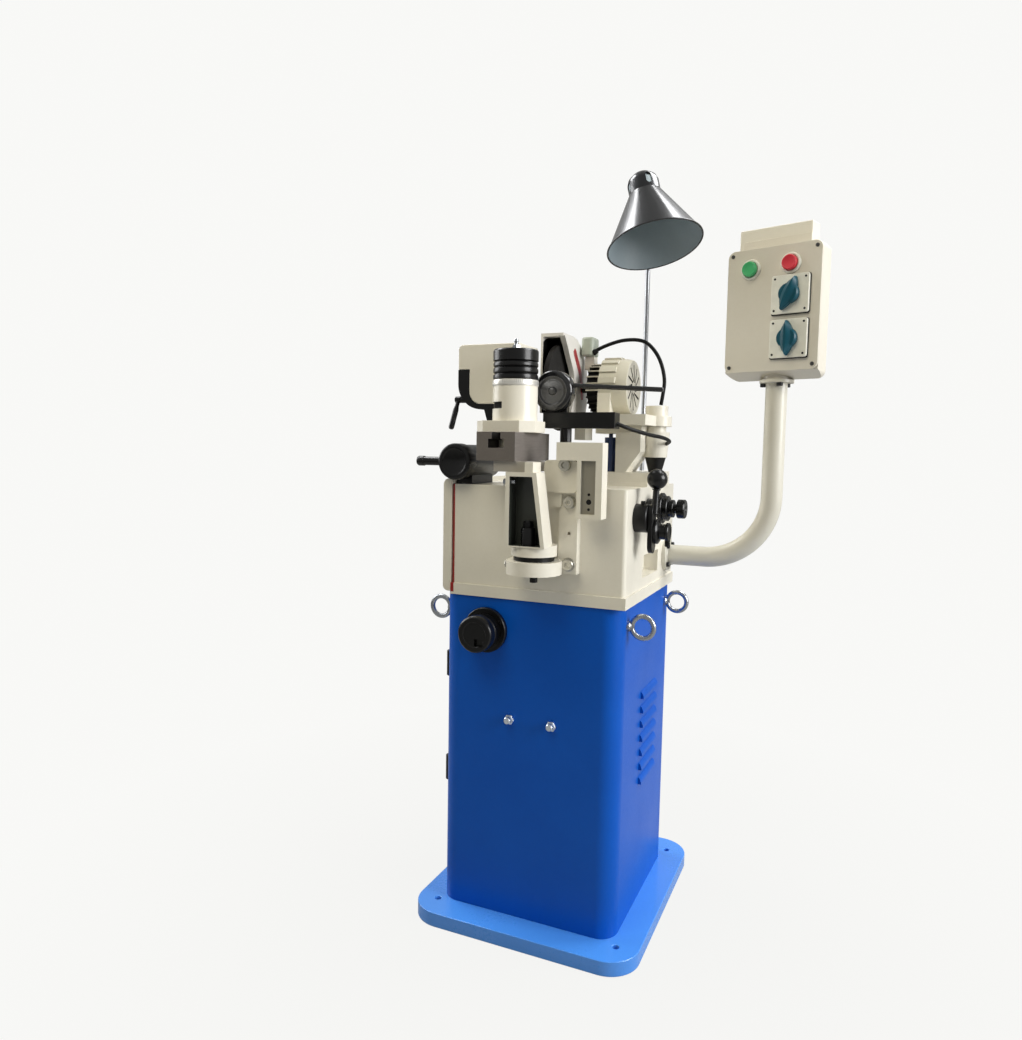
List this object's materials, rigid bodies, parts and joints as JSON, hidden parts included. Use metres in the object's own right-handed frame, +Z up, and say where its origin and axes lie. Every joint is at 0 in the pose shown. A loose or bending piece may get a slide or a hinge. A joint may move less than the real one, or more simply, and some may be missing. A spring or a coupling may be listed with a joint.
{
  "type": "saw blade sharpening machine",
  "caption": "Pedestal saw blade sharpening machine with a swivelling holder, feed dial, guarded grinding head, control box on a bent tube and a work lamp",
  "frame": {"origin": "middle of the base plate's underside", "axes": "+Z up, +X to the operator's right, -Y the front that the operator faces"},
  "size_m": [0.6617, 0.503, 1.3783],
  "materials": {
    "cream_paint": "satin cream enamel on castings",
    "blue_paint": "satin blue enamel",
    "black_enamel": "satin black enamel",
    "black_plastic": "moulded black plastic",
    "bright_steel": "bright zinc-plated or turned steel",
    "grey_casting": "bare machined casting",
    "box_paint": "satin grey-cream enamel",
    "green_plastic": "moulded green plastic",
    "red_plastic": "moulded red plastic",
    "switch_plate": "pale moulded plate",
    "switch_knob": "moulded dark blue-green plastic",
    "shade_black": "gloss black enamel outside, grey inside",
    "bulb_glass": "opal glass on a white socket",
    "jack_blue": "dark blue enamel",
    "motor_black": "black painted finned casting",
    "terminal_grey": "grey-green moulded box",
    "abrasive": "bonded grinding wheel",
    "guard_paint": "grey-cream painted sheet",
    "rubber_lead": "black sheathed lead"
  },
  "bodies": {
    "frame": {"base_plate": "blue_paint", "cabinet_shell": "blue_paint", "eye_bolt_front_left": "bright_steel", "eye_bolt_front_right": "bright_steel", "eye_bolt_rear_left": "bright_steel", "eye_bolt_rear_right": "bright_steel", "knob_flange": "black_enamel", "front_bolt_left": "bright_steel", "front_bolt_right": "bright_steel", "body_casting": "cream_paint", "left_side_cover": "cream_paint", "tube_arm": "cream_paint", "lamp_stand": "bright_steel", "lever_hub": "black_enamel", "holder_bracket": "cream_paint", "angle_bracket": "cream_paint", "damper_cylinder": "black_enamel", "index_bar": "black_enamel", "head_pedestal": "cream_paint", "post_cone": "black_enamel", "support_jack": "jack_blue", "lower_lead": "rubber_lead"},
    "door": {"cabinet_door": "blue_paint"},
    "latch": {"door_latch": "black_plastic"},
    "knob_front": {"front_knob": "black_plastic"},
    "control_box": {"box_pan": "box_paint", "box_lid": "box_paint", "switch_plate_upper": "switch_plate", "switch_plate_lower": "switch_plate"},
    "start_button": {"green_button": "green_plastic"},
    "stop_button": {"red_button": "red_plastic"},
    "upper_switch": {"switch_knob_upper": "switch_knob"},
    "lower_switch": {"switch_knob_lower": "switch_knob"},
    "lamp_swivel_arm": {"lamp_arm": "black_enamel"},
    "lamp_head": {"lamp_shade": "shade_black", "lamp_bulb": "bulb_glass"},
    "lever": {"ball_lever": "black_enamel"},
    "lever_clamp": {"clamp_knob": "black_plastic"},
    "handwheel": {"side_handwheel": "black_plastic"},
    "holder_column": {"swivel_column": "cream_paint", "pivot_pin": "black_enamel", "lock_screw": "bright_steel", "tslot_block": "grey_casting"},
    "feed_slide": {"feed_head": "cream_paint", "rear_housing": "cream_paint", "housing_bracket": "black_enamel"},
    "dial": {"feed_dial": "black_plastic", "grease_nipple": "bright_steel"},
    "housing_handle": {"clamp_handle": "black_enamel"},
    "collar": {"locking_collar": "black_enamel"},
    "feed_arm": {"feed_lever": "black_enamel"},
    "grinding_head": {"head_table": "cream_paint", "motor_body": "motor_black", "motor_cowl": "cream_paint", "terminal_box": "terminal_grey", "wheel_guard": "guard_paint", "motor_lead": "rubber_lead"},
    "wheel": {"wheel_spindle": "bright_steel", "grinding_wheel": "abrasive"}
  },
  "joints": [
    {"name": "door_hinge", "type": "hinge", "parent": "frame", "child": "door", "pos_m": [-0.1762, -0.1383, 0.33], "axis": [0, 0, 1], "range_deg": [0, 110]},
    {"name": "latch_turn", "type": "hinge", "parent": "door", "child": "latch", "pos_m": [-0.177, 0.1055, 0.33], "axis": [1, 0, 0], "range_deg": [0, 90]},
    {"name": "front_knob_turn", "type": "hinge", "parent": "frame", "child": "knob_front", "pos_m": [-0.082, -0.2, 0.542], "axis": [0, 1, 0], "continuous": true},
    {"name": "green_press", "type": "slide", "parent": "control_box", "child": "start_button", "axis": [0.2773, 0.9608, 0], "range_m": [0, 0.0025], "stiffness_N_per_m": 400, "springref_m": -0.002},
    {"name": "red_press", "type": "slide", "parent": "control_box", "child": "stop_button", "axis": [0.2773, 0.9608, 0], "range_m": [0, 0.0025], "stiffness_N_per_m": 400, "springref_m": -0.002},
    {"name": "upper_switch_turn", "type": "hinge", "parent": "control_box", "child": "upper_switch", "pos_m": [0.39217, 0.09057, 1.1345], "axis": [0.2773, 0.9608, 0], "range_deg": [-60, 60]},
    {"name": "lower_switch_turn", "type": "hinge", "parent": "control_box", "child": "lower_switch", "pos_m": [0.39217, 0.09057, 1.059], "axis": [0.2773, 0.9608, 0], "range_deg": [-60, 60]},
    {"name": "box_swivel", "type": "hinge", "parent": "frame", "child": "control_box", "pos_m": [0.3595, 0.1, 0.992], "axis": [0, 0, 1], "range_deg": [-60, 60]},
    {"name": "lamp_swivel", "type": "hinge", "parent": "frame", "child": "lamp_swivel_arm", "pos_m": [0.104, 0.142, 1.335], "axis": [0, 0, 1], "range_deg": [-60, 15]},
    {"name": "lamp_tilt", "type": "hinge", "parent": "lamp_swivel_arm", "child": "lamp_head", "pos_m": [0.10805, 0.11127, 1.337], "axis": [0.9914, 0.1306, 0], "range_deg": [-35, 0]},
    {"name": "ball_lever_swing", "type": "hinge", "parent": "frame", "child": "lever", "pos_m": [0.19, -0.12, 0.748], "axis": [1, 0, 0], "range_deg": [-25, 30]},
    {"name": "clamp_knob_turn", "type": "hinge", "parent": "lever", "child": "lever_clamp", "pos_m": [0.205, -0.111, 0.726], "axis": [1, 0, 0], "continuous": true},
    {"name": "side_handwheel_turn", "type": "hinge", "parent": "frame", "child": "handwheel", "pos_m": [0.19, -0.045, 0.761], "axis": [1, 0, 0], "continuous": true},
    {"name": "column_swivel", "type": "hinge", "parent": "frame", "child": "holder_column", "pos_m": [0.026, -0.226, 0.7], "axis": [0, 0, 1], "range_deg": [0, 10]},
    {"name": "head_slide", "type": "slide", "parent": "holder_column", "child": "feed_slide", "axis": [0, 1, 0], "range_m": [-0.015, 0.005]},
    {"name": "dial_turn", "type": "hinge", "parent": "feed_slide", "child": "dial", "pos_m": [-0.027, -0.191, 0.99], "axis": [0, 0, 1], "continuous": true},
    {"name": "clamp_handle_turn", "type": "hinge", "parent": "feed_slide", "child": "housing_handle", "pos_m": [-0.1658, -0.134, 0.9473], "axis": [1, 0, 0], "range_deg": [-25, 40]},
    {"name": "collar_turn", "type": "hinge", "parent": "frame", "child": "collar", "pos_m": [-0.1394, -0.186, 0.8364], "axis": [0, 1, 0], "range_deg": [-15, 30]},
    {"name": "feed_lever_turn", "type": "hinge", "parent": "frame", "child": "feed_arm", "pos_m": [0.0186, -0.131, 0.96], "axis": [0, 1, 0], "range_deg": [-5, 12]},
    {"name": "head_swing", "type": "hinge", "parent": "frame", "child": "grinding_head", "pos_m": [0.16, 0.025, 0.915], "axis": [0, 0, 1], "range_deg": [-6, 0]},
    {"name": "wheel_spin", "type": "hinge", "parent": "grinding_head", "child": "wheel", "pos_m": [0, -0.025, 0.9743], "axis": [1, 0, 0], "continuous": true}
  ]
}
